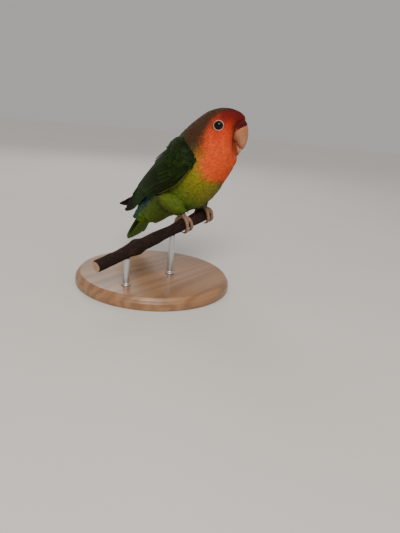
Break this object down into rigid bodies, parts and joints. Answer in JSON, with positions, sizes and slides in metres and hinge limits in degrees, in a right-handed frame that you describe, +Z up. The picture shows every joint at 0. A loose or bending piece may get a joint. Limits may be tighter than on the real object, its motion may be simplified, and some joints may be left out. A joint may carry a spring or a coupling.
{
  "type": "peach faced lovebird model",
  "caption": "Life-size still model of a lovebird gripping a cut length of branch, held over a round base by thin rods.",
  "frame": {"origin": "centre of the stand base's underside", "axes": "+Z up, +X the way the bird's body faces, +Y the bird's left"},
  "size_m": [0.116, 0.1105, 0.1184],
  "materials": {
    "face_feathers": "soft peach orange feathers, darker red on the forehead",
    "neck_feathers": "orange breast feathers that turn olive green on the nape",
    "body_feathers": "soft green feathers, yellower below",
    "wing_feathers": "dark green feathers with black primaries",
    "tail_feathers": "green feathers with a blue rump edge",
    "bill": "pale horn, satin",
    "eye": "dark brown, glossy",
    "leg_skin": "grey scaled skin",
    "claw": "dark horn, smooth",
    "bark": "dark brown rough bark",
    "stand_wood": "satin varnished wood",
    "stand_steel": "brushed"
  },
  "bodies": {
    "root": {"branch": "bark", "stand_base": "stand_wood", "stand_rod_near": "stand_steel", "stand_rod_far": "stand_steel", "head": "face_feathers", "neck": "neck_feathers", "torso": "body_feathers", "bill_upper": "bill", "bill_lower": "bill", "eye_right": "eye", "wing_right": "wing_feathers", "eye_left": "eye", "wing_left": "wing_feathers", "tail": "tail_feathers", "foot_right": "leg_skin", "thigh_right": "body_feathers", "claw_right_inner_front": "claw", "claw_right_outer_front": "claw", "claw_right_inner_back": "claw", "claw_right_outer_back": "claw", "foot_left": "leg_skin", "thigh_left": "body_feathers", "claw_left_inner_front": "claw", "claw_left_outer_front": "claw", "claw_left_inner_back": "claw", "claw_left_outer_back": "claw"}
  },
  "joints": []
}
